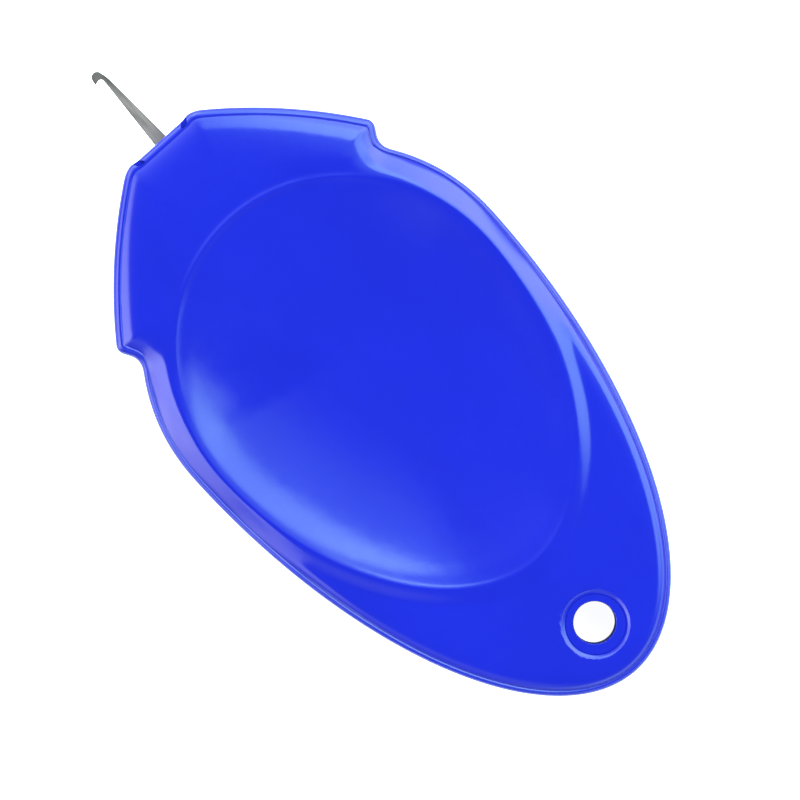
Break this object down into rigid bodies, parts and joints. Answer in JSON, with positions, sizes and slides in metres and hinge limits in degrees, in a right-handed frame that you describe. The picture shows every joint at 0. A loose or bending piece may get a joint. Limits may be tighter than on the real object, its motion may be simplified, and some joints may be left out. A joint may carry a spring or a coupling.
{
  "type": "retractable thread hook",
  "caption": "Small barbed steel thread hook that slides out of a flat egg-shaped glossy blue key-fob case with a dished face and a key-ring hole.",
  "frame": {"origin": "centre of the object's box, on the flat back face", "axes": "+X across the case, +Y towards the hook, +Z out of the dished front face"},
  "size_m": [0.0374, 0.075, 0.0072],
  "materials": {
    "case_plastic": "glossy moulded blue plastic",
    "carriage_plastic": "natural white acetal",
    "hook_steel": "stamped and tumbled grey steel",
    "spring_steel": "bright rolled spring strip",
    "rivet_brass": "plain brass"
  },
  "bodies": {
    "case": {"front_shell": "case_plastic", "back_shell": "case_plastic"},
    "slider": {"hook": "hook_steel", "carriage": "carriage_plastic", "thumb_slide": "case_plastic", "detent_spring": "spring_steel", "hook_rivet": "rivet_brass"}
  },
  "joints": [
    {"name": "hook_slide", "type": "slide", "parent": "case", "child": "slider", "axis": [0, 1, 0], "range_m": [-0.0094, 0]}
  ]
}
